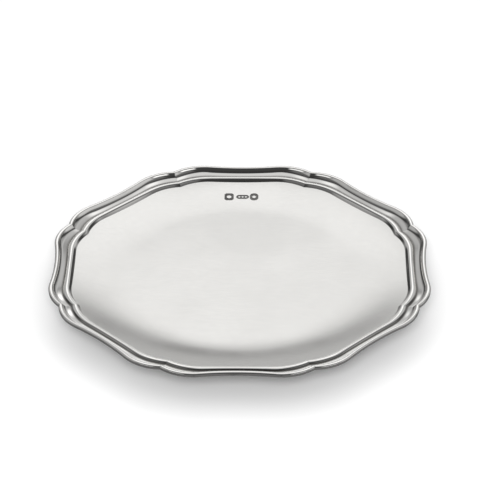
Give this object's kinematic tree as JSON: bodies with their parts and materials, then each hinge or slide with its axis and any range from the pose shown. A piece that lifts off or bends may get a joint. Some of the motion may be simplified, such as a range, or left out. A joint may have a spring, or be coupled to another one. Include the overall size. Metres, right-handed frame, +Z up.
{
  "type": "footed salver",
  "caption": "Round silver salver with a shaped, panelled border of two moulded tiers, a satin dished plate and small cast feet.",
  "frame": {"origin": "on the surface it stands on, under the centre of the plate", "axes": "+Z up along the plate's axis; +Y towards the edge with the punched marks; +X to the right seen from the front"},
  "size_m": [0.1972, 0.1972, 0.0217],
  "materials": {
    "satin_silver": "satin, finely hand-polished silver sheet",
    "polished_silver": "bright polished silver mouldings",
    "cast_silver": "polished cast silver, a little softer in the hollows"
  },
  "bodies": {
    "root": {"plate": "satin_silver", "border_section_1": "polished_silver", "border_section_2": "polished_silver", "border_section_3": "polished_silver", "border_section_4": "polished_silver", "border_section_5": "polished_silver", "border_section_6": "polished_silver", "border_section_7": "polished_silver", "border_section_8": "polished_silver", "foot_1": "cast_silver", "foot_2": "cast_silver", "foot_3": "cast_silver", "foot_4": "cast_silver"}
  },
  "joints": []
}
